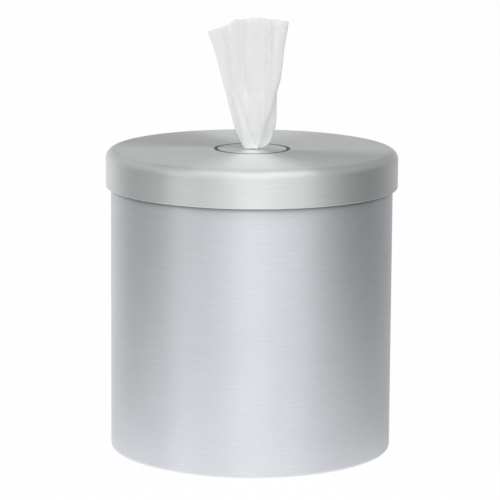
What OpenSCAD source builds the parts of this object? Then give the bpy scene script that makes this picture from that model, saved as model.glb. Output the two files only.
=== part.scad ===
// Countertop dispenser for a centre-pull roll of wet wipes: a brushed steel canister
// with a lift-off lid, a removable inner pail and a nozzle through which the wipe is pulled.
// Millimetres. +Z is up, the front is -Y, and the origin is at the middle of the
// base, on the surface that the dispenser stands on.

/* [Roll of wipes] */
// Outside diameter of a full roll
roll_d = 203; // [150:1:260]
// Height of the roll, which is the width of one wipe
roll_h = 203; // [140:1:260]
// Diameter of the open core that the wipe is drawn from
core_d = 60; // [52:1:90]
// Radius of the roll's pressed edges
roll_edge_r = 5; // [2:0.5:10]

/* [Inner pail] */
// Gap between the roll and the mouth of the pail
roll_gap = 4.5; // [3:0.5:12]
// Thickness of the pail's wall
pail_wall = 1.6; // [1.2:0.1:2.5]
// Thickness of the pail's floor
pail_floor = 1.6; // [1.2:0.1:3]
// How much narrower the pail is at the floor than at the mouth, on the radius
pail_draft = 2; // [0.5:0.1:2.3]
// Height of the ribs on the pail's floor that let the roll drain
drain_h = 1; // [0.6:0.1:3]
// Number of drain ribs
drain_n = 12; // [6:1:16]
// Thickness of the flange that the pail hangs from
flange_t = 1.4; // [1:0.1:3]
// Width of each finger slot
slot_w = 56; // [30:1:80]
// Height of each finger slot
slot_h = 15; // [10:1:20]
// Distance from the flange down to the finger slots
slot_drop = 8; // [4:0.5:12]

/* [Canister] */
// Finger room between the pail and the canister wall
finger_room = 8.4; // [5:0.2:20]
// Sheet thickness of the canister
body_wall = 0.8; // [0.6:0.1:1.1]
// Outside radius of the rolled rim
curl_r = 1.5; // [1.3:0.1:2.5]
// Outside radius of the bottom corner
bottom_r = 3.2; // [2:0.1:5]
// Width of the edge turned in under the canister
bottom_turn = 6; // [4:0.5:12]
// Headroom from the top of the roll to the canister's rim
headroom = 35.6; // [30:0.1:60]

/* [Base] */
// Height that the feet hold the bottom edge above the counter
stand_off = 1; // [0.4:0.1:4]
// Sheet thickness of the bottom pan
pan_wall = 0.8; // [0.6:0.1:1.5]
// How far the pressed middle of the pan stands above its rim
pan_raise = 2.2; // [1:0.1:5]
// Radius on the pan of the pressed stiffening bead
bead_ring_r = 58; // [40:1:70]
// Diameter of each foot
foot_d = 18; // [10:1:24]

/* [Lid] */
// Sheet thickness of the lid
lid_wall = 0.8; // [0.6:0.1:1]
// Height of the lid over its skirt
lid_h = 31; // [26:0.5:60]
// Outside radius of the lid's top edge
lid_edge_r = 7.5; // [5:0.5:9]
// Height of the hem folded inside the skirt
hem_h = 4; // [3:0.5:8]
// Gap between the hem and the canister's rolled rim
lid_gap = 0.4; // [0.3:0.1:1.5]
// Thickness of the inner lid
inner_lid_t = 1.6; // [1.2:0.1:2.5]
// Depth of the inner lid's ribs
rib_h = 3.5; // [2:0.1:6]
// Number of radial ribs
rib_n = 12; // [6:1:24]
// Width of the hub round the nozzle's seat, against which the nut draws
hub_w = 6; // [5:0.5:10]
// Thickness of the seal's flat leg, which lies on the pail's flange
seal_t = 2; // [1:0.1:4]
// Width of the flat leg, outside the pail's mouth
seal_w = 6; // [4:0.5:8]
// Depth of the seal's skirt, which centres the lid in the pail
skirt_h = 10; // [7:0.5:14]
// Thickness of the seal's skirt
skirt_t = 1.6; // [1.2:0.1:2.5]
// Gap between the seal's skirt and the pail
skirt_gap = 0.6; // [0.4:0.1:1.5]

/* [Nozzle] */
// Outside diameter of the nozzle's dark flange
nozzle_d = 63; // [58:1:80]
// Width of the dark ring left showing round the face disc
ring_w = 2.9; // [1.5:0.1:4]
// Thickness of the nozzle's flange
nozzle_flange_t = 1.6; // [1.4:0.1:2.4]
// Thickness of the gasket under the nozzle's flange
gasket_t = 0.4; // [0.3:0.1:1.5]
// Thickness of the brushed face disc
face_t = 0.8; // [0.5:0.1:1]
// Diameter of the exit hole
exit_d = 13; // [12.5:0.5:16]
// Outside diameter of the threaded barrel
barrel_d = 52; // [48:1:56]
// Wall of the barrel
barrel_wall = 2.4; // [1.8:0.1:4]
// Length of the barrel below the lid's seat
barrel_h = 17.5; // [14:0.5:22]
// Thickness of the grip diaphragm
grip_t = 1.6; // [1:0.1:2.5]
// Diameter of the hole that the petals leave for the wipe
grip_d = 10.4; // [9:0.2:11]
// Length of the petals, from their root to the wipe
petal_l = 7; // [5:0.5:8]
// Number of petals round the grip
petal_n = 8; // [5:1:12]
// Width of the slits between the petals
slit_w = 0.6; // [0.4:0.1:1]
// Thickness of the slip washer
washer_t = 0.8; // [0.4:0.1:1.5]
// Height of the clamp nut
nut_h = 6; // [4:0.5:8]
// Number of finger scallops round the clamp nut
scallop_n = 12; // [6:1:18]

/* [Wipe] */
// Length of one wipe between two tear lines
wipe_l = 152; // [130:1:180]
// Height of wipe that stands above the lid
wipe_show = 111; // [80:1:130]
// Reach of the wipe to the left of the nozzle, at its top
wipe_left = 37; // [20:1:60]
// Reach of the wipe to the right of the nozzle, at its top
wipe_right = 30; // [20:1:60]
// Gap between two leaves of the folded wipe, where they stand widest apart
leaf_gap = 10; // [5:0.5:16]
// Length of the long wave that runs across the leaves
wave_l = 55; // [40:1:80]
// Depth of the long wave at the top of the wipe
wave_d = 2.2; // [0:0.1:3]
// Height above the foot of the roll where the next wipe peels off
peel_h = 22; // [10:1:60]
// Thickness that stands for the soft wipe
wipe_t = 1; // [0.6:0.1:1.2]
// Gap between the gathered wipe and the petals
grip_gap = 0.4; // [0.3:0.1:1]

/* [Hidden] */
$fn = 96;

steel = [0.74, 0.75, 0.76];
plain_steel = [0.62, 0.63, 0.65];
pail_grey = [0.30, 0.31, 0.33];
near_black = [0.06, 0.06, 0.07];
wet_white = [0.90, 0.91, 0.91];
seal_grey = [0.45, 0.46, 0.47];

eps = 0.01;            // overlap that joins two solids of one piece
over = 1;              // how far a cutter runs clear of the piece
touch = 0.05;          // gap where a round edge rests under a flat one
snug = 0.2;            // gap between pieces that push together
bend_r = 0.5;          // inside radius of the small bends in sheet metal
foot_n = 4;            // one node for each foot
nut_room = 2;          // the inner lid's ribs stop this far outside its hub, clear of the nut
nut_inset = 1;         // the nut's edge stays this far inside the hub's
flange_room = 1;       // gap between the pail's flange and the lid's hem
web_t = 1.8;           // thickness of the nozzle's web, on which the face disc lies
clamp_lap = 1;         // the diaphragm is clamped from this far outside the petals' root

// Radii, from the roll outwards
roll_r = roll_d / 2;
core_r = core_d / 2;
pail_in_r = roll_r + roll_gap;
pail_out_r = pail_in_r + pail_wall;
body_in_r = pail_out_r + finger_room;
body_r = body_in_r + body_wall;
curl_mid_r = body_in_r + curl_r;
hem_in_r = body_in_r + 2 * curl_r + lid_gap;
lid_r = hem_in_r + 2 * lid_wall;
flange_r = hem_in_r - flange_room;
seal_in_r = pail_in_r - skirt_gap - skirt_t;
turn_in_r = body_r - bottom_r - bottom_turn;

// Heights, from the counter upwards
body_z = stand_off;
pan_z = body_z + body_wall;
pan_mid_z = pan_z + pan_raise;
pail_gap_z = 0.6;      // the pail hangs this far above the pan
pail_z = pan_mid_z + pan_wall + pail_gap_z;
pail_floor_z = pail_z + pail_floor;
roll_z = pail_floor_z + drain_h;
roll_top_z = roll_z + roll_h;
rim_z = roll_top_z + headroom;
flange_z = rim_z + touch;
seal_z = flange_z + flange_t;
inner_lid_z = seal_z + seal_t;
lid_under_z = inner_lid_z + inner_lid_t;
lid_z = lid_under_z + lid_wall;
skirt_z = lid_z - lid_h;

// Nozzle, from the lid's top face downwards
nozzle_r = nozzle_d / 2;
face_r = nozzle_r - ring_w;
exit_r = exit_d / 2;
barrel_r = barrel_d / 2;
barrel_in_r = barrel_r - barrel_wall;
seat_in_r = barrel_r + 2 * snug;
seat_r = nozzle_r + snug;
seat_z = lid_z - nozzle_flange_t - gasket_t;
seat_under_z = seat_z - lid_wall;
web_z = lid_z - face_t - web_t;
petal_rise = 3;                    // the petals bend up this far into the room under the web
clamp_z = web_z - petal_rise;      // face that the diaphragm is clamped against
grip_z = clamp_z - grip_t;
barrel_z = seat_z - barrel_h;
hub_in_r = seat_r + lid_wall + bend_r + snug;
hub_r = hub_in_r + hub_w;
nut_r = hub_r - nut_inset;
nut_z = seat_under_z - washer_t;   // top of the nut
grip_hole_r = grip_d / 2;
petal_root_r = grip_hole_r + petal_l;
neck_r = grip_hole_r - grip_gap;

// ---------------------------------------------------------------- profiles

// A quarter of a bent sheet in the first quadrant, t thick, with outside radius r
module quarter_band(r, t) {
    intersection() {
        difference() {
            circle(r);
            circle(r - t);
        }
        square(r);
    }
}

// A bar of a profile from its lower inner corner to its upper outer one
module bar(x0, z0, x1, z1) {
    translate([x0, z0]) square([x1 - x0, z1 - z0]);
}

module revolve() {
    rotate_extrude($fn = 180) children();
}

// ---------------------------------------------------------------- canister

// Canister wall: bottom edge turned in, straight wall, rim rolled outwards
module body_profile() {
    curl_z = rim_z - curl_r;
    bar(turn_in_r, body_z, body_r - bottom_r, body_z + body_wall);
    translate([body_r - bottom_r, body_z + bottom_r])
        mirror([0, 1]) quarter_band(bottom_r, body_wall);
    bar(body_in_r, body_z + bottom_r, body_r, curl_z);
    translate([curl_mid_r, curl_z]) {
        quarter_band(curl_r, body_wall);
        mirror([1, 0]) quarter_band(curl_r, body_wall);
        mirror([0, 1]) quarter_band(curl_r, body_wall);
    }
}

module body_shell() {
    weld_proud = 0.4;
    weld_skin = 0.05;      // the bead stays this far under the ground outside face
    weld_r = (body_wall + weld_proud - weld_skin) / 2;
    color(steel) union() {
        revolve() body_profile();
        // Weld bead up the back: proud inside, ground flush outside
        translate([0, body_in_r - weld_proud + weld_r, body_z + bottom_r])
            cylinder(r = weld_r, h = rim_z - curl_r * 2 - body_z - bottom_r, $fn = 24);
    }
}

// Pressed bottom: a rim that lies on the turned-in edge, a raised middle and a stiffening bead
module bottom_pan() {
    rim_lap = 1;           // the raised middle starts this far outside the turned-in edge
    rim_out_r = body_in_r - bottom_r;
    rim_in_r = turn_in_r + rim_lap;
    step = pan_raise;
    bead_r = 2.4;
    bead_h = 1;
    color(plain_steel) revolve() {
        polygon([
            [rim_out_r, pan_z], [rim_out_r, pan_z + pan_wall],
            [rim_in_r, pan_z + pan_wall], [rim_in_r - step, pan_mid_z + pan_wall],
            [bead_ring_r + bead_r, pan_mid_z + pan_wall],
            [bead_ring_r + bead_r / 2, pan_mid_z + pan_wall - bead_h],
            [bead_ring_r - bead_r / 2, pan_mid_z + pan_wall - bead_h],
            [bead_ring_r - bead_r, pan_mid_z + pan_wall],
            [0, pan_mid_z + pan_wall], [0, pan_mid_z],
            [bead_ring_r - bead_r, pan_mid_z],
            [bead_ring_r - bead_r / 2, pan_mid_z - bead_h],
            [bead_ring_r + bead_r / 2, pan_mid_z - bead_h],
            [bead_ring_r + bead_r, pan_mid_z],
            [rim_in_r - step - pan_wall / 2, pan_mid_z], [rim_in_r - pan_wall / 2, pan_z]
        ]);
    }
}

// Rubber foot: a button with a rounded lower edge, stuck under the pan
module foot_pad(index) {
    foot_r = foot_d / 2;
    foot_inset = 2;        // room between the foot and the pan's rim
    edge = pan_mid_z / 4;
    ring_r = turn_in_r - pan_raise - foot_r - foot_inset;
    color(near_black)
        rotate(360 / foot_n * (index - 0.5))
            translate([ring_r, 0, 0])
                revolve() {
                    bar(0, 0, foot_r - edge, pan_mid_z);
                    bar(0, edge, foot_r, pan_mid_z);
                    translate([foot_r - edge, edge]) mirror([0, 1]) quarter_band(edge, edge);
                }
}

// ---------------------------------------------------------------- pail and roll

pail_floor_r = pail_in_r - pail_draft;
corner_w = pail_floor_r - roll_r - snug;   // the corner stays outside the roll

// Drafted wall with a bevelled bottom corner and a flange
module pail_profile() {
    corner_h = 4;
    difference() {
        union() {
            polygon([
                [0, pail_z], [pail_floor_r + pail_wall - corner_w, pail_z],
                [pail_floor_r + pail_wall, pail_z + corner_h],
                [pail_out_r, flange_z + flange_t], [0, flange_z + flange_t]
            ]);
            bar(0, flange_z, flange_r, flange_z + flange_t);
        }
        polygon([
            [0, pail_floor_z], [pail_floor_r - corner_w, pail_floor_z],
            [pail_floor_r, pail_floor_z + corner_h],
            [pail_in_r, flange_z + flange_t], [pail_in_r, flange_z + flange_t + over],
            [0, flange_z + flange_t + over]
        ]);
    }
}

// A slot with round ends, cut along +X
module finger_slot() {
    end_r = slot_h / 2;
    translate([0, 0, flange_z - slot_drop - end_r])
        rotate([0, 90, 0]) {
            for (side = [-1, 1])
                translate([0, side * (slot_w / 2 - end_r), 0]) cylinder(r = end_r, h = flange_r);
            translate([-end_r, -slot_w / 2 + end_r, 0]) cube([slot_h, slot_w - slot_h, flange_r]);
        }
}

// Low rib on the pail's floor, under the roll
module drain_rib() {
    rib_w = 2;
    translate([core_r, -rib_w / 2, pail_floor_z - eps])
        cube([roll_r - roll_edge_r - core_r, rib_w, drain_h + eps]);
}

module inner_pail() {
    color(pail_grey) union() {
        difference() {
            revolve() pail_profile();
            for (turn = [0, 180]) rotate(turn) finger_slot();
        }
        for (i = [0 : drain_n - 1]) rotate(360 / drain_n * i) drain_rib();
    }
}

// The roll: a wound strip, shown as one soft ring with pressed edges
module wipes_roll() {
    core_edge = roll_edge_r / 2;
    color(wet_white) revolve() {
        bar(core_r, roll_z + core_edge, roll_r, roll_top_z - roll_edge_r);
        bar(core_r + core_edge, roll_z, roll_r - roll_edge_r, roll_top_z);
        bar(roll_r - roll_edge_r - eps, roll_z, roll_r, roll_top_z - roll_edge_r);
        bar(core_r, roll_top_z - roll_edge_r - eps, core_r + core_edge, roll_top_z - core_edge);
        bar(core_r, roll_z, core_r + core_edge, roll_z + core_edge);
        translate([roll_r - roll_edge_r, roll_top_z - roll_edge_r])
            quarter_band(roll_edge_r, roll_edge_r);
        translate([core_r + core_edge, roll_top_z - core_edge])
            mirror([1, 0]) quarter_band(core_edge, core_edge);
    }
}

// ---------------------------------------------------------------- lid

// Pressed lid: sunk seat for the nozzle, flat top, rounded edge, skirt and folded hem
module lid_profile() {
    edge_mid_r = lid_r - lid_edge_r;
    edge_mid_z = lid_z - lid_edge_r;
    lip_r = lid_wall + bend_r;
    bar(seat_in_r, seat_under_z, seat_r + lid_wall - lip_r, seat_z);
    translate([seat_r + lid_wall - lip_r, seat_under_z + lip_r])
        mirror([0, 1]) quarter_band(lip_r, lid_wall);
    bar(seat_r, seat_under_z + lip_r, seat_r + lid_wall, lid_under_z);
    bar(seat_r, lid_under_z, edge_mid_r, lid_z);
    translate([edge_mid_r, edge_mid_z]) quarter_band(lid_edge_r, lid_wall);
    bar(lid_r - lid_wall, skirt_z + lid_wall, lid_r, edge_mid_z);
    translate([lid_r - lid_wall, skirt_z + lid_wall]) {
        mirror([0, 1]) quarter_band(lid_wall, lid_wall);
        mirror([1, 0]) mirror([0, 1]) quarter_band(lid_wall, lid_wall);
    }
    bar(hem_in_r, skirt_z + lid_wall, lid_r - lid_wall, skirt_z + hem_h);
}

module lid_shell() {
    color(steel) revolve() lid_profile();
}

// Moulded inner lid: a disc with a hub, radial ribs and a ring rib
module inner_lid() {
    edge_mid_r = lid_r - lid_edge_r;
    follow_r = lid_edge_r - lid_wall - snug;
    rib_room = 1;          // the ribs stop this far inside the seal
    rib_end_r = seal_in_r - rib_room;
    ring_rib_r = (hub_r + rib_end_r) / 2;
    rib_t = 1.4;
    color(pail_grey) union() {
        revolve() {
            bar(hub_in_r, inner_lid_z, edge_mid_r, lid_under_z);
            intersection() {
                translate([edge_mid_r, lid_z - lid_edge_r]) circle(follow_r);
                bar(edge_mid_r - over, inner_lid_z, lid_r, lid_under_z);
            }
            bar(hub_in_r, seat_under_z, hub_r, lid_under_z);
            bar(ring_rib_r - rib_t / 2, inner_lid_z - rib_h, ring_rib_r + rib_t / 2, inner_lid_z + eps);
        }
        for (i = [0 : rib_n - 1])
            rotate(360 / rib_n * (i + 0.5))
                translate([hub_r + nut_room, -rib_t / 2, inner_lid_z - rib_h])
                    cube([rib_end_r - hub_r - nut_room, rib_t, rib_h + eps]);
    }
}

// Seal with an L section: a flat leg on the pail's flange, and a skirt inside the pail's mouth
module lid_seal() {
    color(seal_grey) revolve() {
        bar(seal_in_r, seal_z, pail_in_r + seal_w, inner_lid_z);
        bar(seal_in_r, inner_lid_z - skirt_h, seal_in_r + skirt_t, inner_lid_z);
    }
}

// ---------------------------------------------------------------- nozzle

// Dark nozzle: a flange flush with the lid, a web with the exit hole, and a barrel below
module nozzle_body() {
    color(near_black) revolve() difference() {
        union() {
            bar(exit_r, seat_z + gasket_t, nozzle_r, lid_z);
            bar(exit_r, web_z, barrel_r, lid_z);
            bar(petal_root_r + clamp_lap, clamp_z, barrel_r, lid_z - face_t);
            bar(barrel_in_r, barrel_z, barrel_r, lid_z - face_t);
        }
        bar(0, lid_z - face_t, face_r, lid_z + over);
    }
}

module nozzle_gasket() {
    color(near_black) revolve()
        bar(seat_in_r + snug, seat_z, seat_r - bend_r - touch, seat_z + gasket_t);
}

// Brushed disc let into the nozzle, with a small notch in its edge to prise it out by
module face_disc() {
    notch_r = 3.4;
    notch_bite = 1.2;      // how deep the notch cuts in
    notch_turn = -45;      // front right
    color(steel) difference() {
        translate([0, 0, lid_z - face_t]) cylinder(r = face_r - touch, h = face_t, $fn = 180);
        translate([0, 0, lid_z - face_t - over])
            cylinder(r = exit_r + snug, h = face_t + 2 * over);
        rotate(notch_turn)
            translate([face_r + notch_r - notch_bite, 0, lid_z - face_t - over])
                cylinder(r = notch_r, h = face_t + 2 * over, $fn = 48);
    }
}

// Rubber diaphragm whose petals bend up round the wipe and hold it
module grip_diaphragm() {
    petal_top_z = web_z - snug;
    petal_tip_t = 1;       // thickness of a petal at its tip
    uncut = 0.8;           // the slits stop this far short of the petals' root
    grip_r = barrel_in_r - snug;
    color(near_black) difference() {
        revolve() polygon([
            [grip_r, grip_z], [grip_r, clamp_z], [petal_root_r, clamp_z],
            [grip_hole_r + snug, petal_top_z], [grip_hole_r, petal_top_z - petal_tip_t],
            [petal_root_r, grip_z]
        ]);
        for (i = [0 : petal_n - 1])
            rotate(360 / petal_n * i)
                translate([0, -slit_w / 2, grip_z - over])
                    cube([petal_root_r - uncut, slit_w, petal_top_z - grip_z + 2 * over]);
    }
}

// Funnel pushed up into the barrel: it clamps the diaphragm and guides the wipe
module funnel_insert() {
    out_r = barrel_in_r - snug;
    throat_r = petal_root_r + clamp_lap;
    throat_h = 3;
    lip = 1.2;             // wall left at the funnel's mouth
    mouth_r = out_r - lip;
    rim_t = 2.4;           // the rim that stops under the barrel
    stop_z = barrel_z - touch;
    color(pail_grey) revolve()
        polygon([
            [throat_r, grip_z], [out_r, grip_z], [out_r, stop_z], [barrel_r - touch, stop_z],
            [barrel_r - touch, stop_z - rim_t], [mouth_r, stop_z - rim_t],
            [throat_r, grip_z - throat_h]
        ]);
}

// Slip washer that lets the nut turn under the lid
module nut_washer() {
    color(pail_grey) revolve()
        bar(barrel_r + snug, nut_z, nut_r, seat_under_z);
}

// Ring nut that draws the nozzle down on the lid: a flange above and finger scallops below
module clamp_nut() {
    rim_h = 2;             // height of the nut's flange
    rim_w = 1.2;           // how far the flange stands out
    scallop_r = 3.2;
    scallop_bite = 1.3;    // how deep each scallop cuts in
    grip_r = nut_r - rim_w;
    color(pail_grey) difference() {
        revolve() {
            bar(barrel_r + snug, nut_z - nut_h, grip_r, nut_z);
            bar(grip_r - over, nut_z - rim_h, nut_r, nut_z);
        }
        for (i = [0 : scallop_n - 1])
            rotate(360 / scallop_n * i)
                translate([grip_r + scallop_r - scallop_bite, 0, nut_z - nut_h - over])
                    cylinder(r = scallop_r, h = nut_h + over - rim_h, $fn = 36);
    }
}

// ---------------------------------------------------------------- wipe

leaf_steps = 9;        // straight steps along each leaf of the folded sheet
turn_steps = 6;        // steps round each fold

neck_half = neck_r * 0.76;
neck_gap = neck_r * 0.47;

function mix(a, b, t) = a + (b - a) * t;

// The sheet is folded in three leaves, front to back, like a flattened S. left and right are
// its reach from the middle, and gap is the distance between leaves. short is how much of
// the reach the back fold and the sheet's back edge fall short of the front leaf.
function folded_line(left, right, gap, short = 0) = let (
    fold_r = gap / 2,
    back_left = left * (1 - short),
    back_right = right * (1 - short / 2)
) concat(
    [for (i = [0 : leaf_steps]) [mix(-left, right - fold_r, i / leaf_steps), -gap]],
    [for (i = [1 : turn_steps - 1]) let (a = -90 + 180 * i / turn_steps)
        [right - fold_r + fold_r * cos(a), -fold_r + fold_r * sin(a)]],
    [for (i = [0 : leaf_steps]) [mix(right - fold_r, fold_r - back_left, i / leaf_steps), 0]],
    [for (i = [1 : turn_steps - 1]) let (a = -90 - 180 * i / turn_steps)
        [fold_r - back_left + fold_r * cos(a), fold_r + fold_r * sin(a)]],
    [for (i = [0 : leaf_steps]) [mix(fold_r - back_left, back_right, i / leaf_steps), gap]]
);

// Unit normal of a line at point i
function normal_at(line, i) = let (
    a = line[max(i - 1, 0)],
    b = line[min(i + 1, len(line) - 1)],
    d = b - a
) [-d[1], d[0]] / norm(d);

// One closed ring of the sheet: out along one face and back along the other
function ring(line, t) = concat(
    [for (i = [0 : len(line) - 1]) line[i] + normal_at(line, i) * t / 2],
    [for (i = [len(line) - 1 : -1 : 0]) line[i] - normal_at(line, i) * t / 2]
);

function turned(p, a) = [p[0] * cos(a) - p[1] * sin(a), p[0] * sin(a) + p[1] * cos(a)];

// Joins rings of 3D points, lowest first, into one closed solid. Its ends are closed
// across the sheet's thickness, between point i on one face and its partner j on the other.
module skin(rings) {
    n = len(rings[0]);
    last = len(rings) - 1;
    points = [for (r = rings) each r];
    sides = [for (k = [0 : last - 1]) for (i = [0 : n - 1]) let (
            j = (i + 1) % n, a = k * n + i, b = k * n + j)
        each [[a, b, b + n], [a, b + n, a + n]]];
    ends = [for (i = [0 : n / 2 - 2]) let (j = n - 1 - i)
        each [[i, j - 1, i + 1], [i, j, j - 1],
            [last * n + i, last * n + i + 1, last * n + j - 1],
            [last * n + i, last * n + j - 1, last * n + j]]];
    polyhedron(points = points, faces = [for (f = concat(sides, ends)) [f[2], f[1], f[0]]]);
}

// Outline of the standing wipe, seen from the front: pairs of height and reach, as shares of
// its full height and of its full reach past the neck. The left edge leans out steadily, and
// the right edge bellies out over the nozzle and then stands almost upright for a while.
left_edge = [[0, 0], [0.07, 0.14], [0.16, 0.27], [0.31, 0.43], [0.68, 0.76], [1, 1]];
right_edge = [
    [0, 0], [0.03, 0.2], [0.08, 0.44], [0.16, 0.58], [0.4, 0.66], [0.5, 0.75], [0.77, 0.88], [1, 1]
];
// Gap between leaves, as shares of the height and of its widest
gap_swell = [[0, 0], [0.07, 0.7], [0.22, 1], [0.54, 1], [1, 0.75]];

function reach_at(edge, s, full) = neck_half + (full - neck_half) * lookup(s / wipe_show, edge);
function gap_at(s) = neck_gap + (leaf_gap - neck_gap) * lookup(s / wipe_show, gap_swell);

// The leaves wave a little together: a long wave, with a short shallow one on it
short_wave_l = wave_l * 0.47;
short_wave_d = wave_d * 0.4;
function wave(x, s) = (s / wipe_show)
    * (wave_d * sin(x * 360 / wave_l + 30) + short_wave_d * sin(x * 360 / short_wave_l));

// The top edge falls away to both sides, and the front leaf's left corner most
function top_fall(x, s) = s * (x < 0 ? 0.75 : 0.15) * pow(x / wipe_show, 2);

function sheet_ring(s) = let (
        left = reach_at(left_edge, s, wipe_left),
        right = reach_at(right_edge, s, wipe_right),
        short = 0.5 * min(1, 4 * s / wipe_show)
    ) [for (p = ring(folded_line(left, right, gap_at(s), short), wipe_t))
        [p[0], p[1] + wave(p[0], s), lid_z + s - top_fall(p[0], s)]];

function neck_ring(z, a) = [for (p = ring(folded_line(neck_half, neck_half, neck_gap), wipe_t))
    let (q = turned(p, a)) [q[0], q[1], z]];

tear_z = lid_z + wipe_show - wipe_l;       // the tear line between this wipe and the next

// The wipe that stands in the nozzle, down to the tear line
module wipe_sheet() {
    neck_over = 0.5;       // the sheet stays gathered this far above the lid
    heights = [0.03, 0.055, 0.08, 0.12, 0.16, 0.23, 0.31, 0.4, 0.5, 0.64, 0.77, 0.89, 1];
    color(wet_white)
        skin(concat(
            [neck_ring(tear_z, 0), neck_ring(lid_z + neck_over, 0)],
            [for (h = heights) sheet_ring(h * wipe_show)]
        ));
}

// The next wipe, drawn up out of the roll's core, where it opens and twists round
module wipe_tail() {
    tail_z = roll_z + peel_h;
    core_clear = 6;
    twist = 150;
    closed = 0.25;         // share of its length that is still gathered like the neck
    spread = core_r - core_clear - neck_r;
    steps = 14;
    color(wet_white)
        skin([for (k = [0 : steps]) let (
                t = 1 - k / steps,
                open = pow(max(0, (t - closed) / (1 - closed)), 1.3),
                half = neck_half + spread * 0.72 * open,
                gap = neck_gap + spread * 0.42 * open,
                z = mix(tear_z, tail_z, t))
            [for (p = ring(folded_line(half, half, gap), wipe_t))
                let (q = turned(p, twist * t * t)) [q[0], q[1], z]]]);
}

body_shell();
bottom_pan();
foot_pad(1);  // foot_pad_1
foot_pad(2);  // foot_pad_2
foot_pad(3);  // foot_pad_3
foot_pad(4);  // foot_pad_4
inner_pail();
wipes_roll();
lid_shell();
inner_lid();
lid_seal();
nozzle_body();
nozzle_gasket();
face_disc();
grip_diaphragm();
funnel_insert();
nut_washer();
clamp_nut();
wipe_sheet();
wipe_tail();
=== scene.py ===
# %% [markdown]
# # A countertop wipes dispenser in brushed steel
#
# The object is a round steel canister with a lift-off lid. A roll of wet wipes stands in a
# plastic pail inside it, and the next wipe is pulled up from the roll's core through a nozzle
# in the lid. The canister, the lid and everything rigid come ready as solids from the packed
# model. This lesson gives them their finishes, and it makes the soft pieces anew: the wipe,
# the strip that follows it and the wound roll.

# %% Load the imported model
import math

import bpy
import numpy as np
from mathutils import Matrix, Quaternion, Vector


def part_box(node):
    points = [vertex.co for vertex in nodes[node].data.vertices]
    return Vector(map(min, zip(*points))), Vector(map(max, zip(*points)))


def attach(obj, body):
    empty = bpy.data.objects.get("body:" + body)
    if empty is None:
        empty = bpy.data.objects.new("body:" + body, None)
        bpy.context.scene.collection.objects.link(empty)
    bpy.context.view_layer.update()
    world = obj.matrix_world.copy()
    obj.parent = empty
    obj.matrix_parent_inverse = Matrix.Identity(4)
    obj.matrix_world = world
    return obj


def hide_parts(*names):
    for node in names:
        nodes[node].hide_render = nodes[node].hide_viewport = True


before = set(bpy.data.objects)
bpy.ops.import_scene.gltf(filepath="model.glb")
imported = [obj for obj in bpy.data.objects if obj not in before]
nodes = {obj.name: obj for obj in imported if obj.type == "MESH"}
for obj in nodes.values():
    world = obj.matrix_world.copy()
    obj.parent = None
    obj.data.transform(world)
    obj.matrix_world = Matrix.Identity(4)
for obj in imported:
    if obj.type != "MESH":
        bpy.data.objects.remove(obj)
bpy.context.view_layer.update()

# %% [markdown]
# The photograph is a long-lens picture, so near and far edges of the lid are almost parallel.
# The camera's place comes from the ellipses of the lid and the base: it stands 2.475 m away,
# ten degrees above the middle of the object, and it leans by a third of a degree.

# %% The camera
PHOTO_SIZE = 500            # pixels along one side
FOCAL_PIXELS = 2972         # focal length, in pixels of the photograph
SENSOR = 36.0               # millimetres, Blender's usual width
CAMERA_DISTANCE = 2.475     # metres
CAMERA_ELEVATION = math.radians(10.31)
CAMERA_ROLL = math.radians(0.375)
AIM = Vector((-0.00116, 0.0, 0.167))    # the point that the camera and the lamps look at

lens = bpy.data.cameras.new("camera")
lens.sensor_width = SENSOR
lens.lens = SENSOR * FOCAL_PIXELS / PHOTO_SIZE
camera = bpy.data.objects.new("camera", lens)
bpy.context.scene.collection.objects.link(camera)
away = Vector((0, -math.cos(CAMERA_ELEVATION), math.sin(CAMERA_ELEVATION)))
camera.location = AIM + away * CAMERA_DISTANCE
camera.rotation_mode = "QUATERNION"
camera.rotation_quaternion = (-away).to_track_quat("-Z", "Y") @ Quaternion((0, 0, 1), CAMERA_ROLL)
bpy.context.scene.camera = camera
bpy.context.scene.view_settings.view_transform = "Standard"
print("lens:", round(lens.lens, 1), "mm")

# %% [markdown]
# Shader trees are easier to read as short calls than as pairs of "new node" and "new link".
# This helper adds one node, sets its settings, and fills its inputs. An input that is given
# another node's output is linked to it, and any other value is typed into the socket. Nodes
# that are used again and again get a short call of their own.

# %% Helpers for node trees
def add(tree, kind, inputs=None, **settings):
    """One node of a tree. inputs maps a socket's name or number to a value or an output."""
    node = tree.nodes.new(kind)
    for name, value in settings.items():
        setattr(node, name, value)
    for key, value in (inputs or {}).items():
        if isinstance(value, bpy.types.NodeSocket):
            tree.links.new(value, node.inputs[key])
        else:
            node.inputs[key].default_value = value
    return node


def calc(tree, operation, *values):
    """The output of one Math node."""
    return add(tree, "ShaderNodeMath", dict(enumerate(values)), operation=operation).outputs[0]


def spread(tree, value, low, high, to_low, to_high, smooth=True):
    """The output of a Map Range node, which eases from one range to another."""
    kind = "SMOOTHSTEP" if smooth else "LINEAR"
    node = add(tree, "ShaderNodeMapRange",
               {0: value, 1: low, 2: high, 3: to_low, 4: to_high}, interpolation_type=kind)
    return node.outputs[0]


def mix(tree, share, first, second):
    """The output of a Mix node between two numbers."""
    return add(tree, "ShaderNodeMix", {0: share, 2: first, 3: second}, data_type="FLOAT").outputs[0]


def split(tree, vector):
    """The three numbers of a vector."""
    return add(tree, "ShaderNodeSeparateXYZ", {0: vector}).outputs


def radius_of(tree, x, y):
    """Distance from the axis."""
    squares = calc(tree, "ADD", calc(tree, "MULTIPLY", x, x), calc(tree, "MULTIPLY", y, y))
    return calc(tree, "SQRT", squares)


def object_place(tree):
    """The shaded point, in the object's own metres."""
    return add(tree, "ShaderNodeTexCoord").outputs["Object"]


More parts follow.
